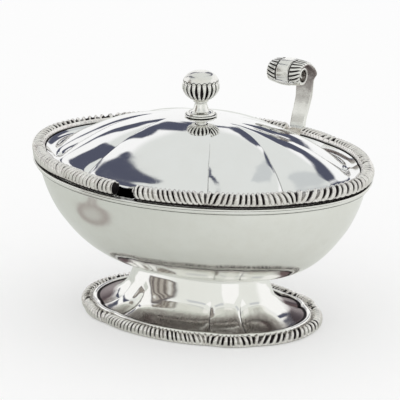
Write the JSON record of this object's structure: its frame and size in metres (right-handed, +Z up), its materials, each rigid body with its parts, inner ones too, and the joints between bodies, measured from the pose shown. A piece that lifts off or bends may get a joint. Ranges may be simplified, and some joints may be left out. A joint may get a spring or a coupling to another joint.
{
  "type": "covered cheese bowl",
  "caption": "Oval footed silver serving bowl with a hinged lobed lid, gadroon borders, a fluted finial, a scroll thumb lever and a spoon notch",
  "frame": {"origin": "on the resting surface (Z = 0), under the centre of the bounding box", "axes": "+X along the long axis of the oval, +Y towards the hinge and its thumb lever, +Z up"},
  "size_m": [0.2398, 0.1898, 0.1633],
  "materials": {
    "polished_silver": "polished silver with fine wear scratches",
    "lid_silver": "bright polished silver with fine wear scratches",
    "chased_silver": "cast and chased silver, dark oxide left in the grooves",
    "hinge_silver": "worn silver, slightly dull",
    "fixing_silver": "dull unpolished silver"
  },
  "bodies": {
    "bowl": {"bowl_body": "polished_silver", "bowl_rim_moulding": "polished_silver", "foot_pedestal": "polished_silver", "foot_gadroon_border": "chased_silver", "bowl_hinge_bracket": "hinge_silver", "hinge_pin": "hinge_silver"},
    "lid": {"lid_dome": "lid_silver", "lid_bezel": "polished_silver", "lid_gadroon_left": "chased_silver", "lid_gadroon_right": "chased_silver", "lid_hinge_leaf": "hinge_silver", "lever_strap": "polished_silver", "lever_scroll_roll": "chased_silver", "lever_roll_band": "polished_silver", "finial_base_plate": "polished_silver", "finial_stem": "polished_silver", "finial_knob_lobes": "chased_silver", "finial_knob_cap": "lid_silver", "finial_stud": "fixing_silver", "finial_washer": "fixing_silver", "finial_nut": "fixing_silver"}
  },
  "joints": [
    {"name": "lid_hinge", "type": "hinge", "parent": "bowl", "child": "lid", "pos_m": [0.0193, 0.08831, 0.1035], "axis": [-1, 0, 0], "range_deg": [0, 95]}
  ]
}
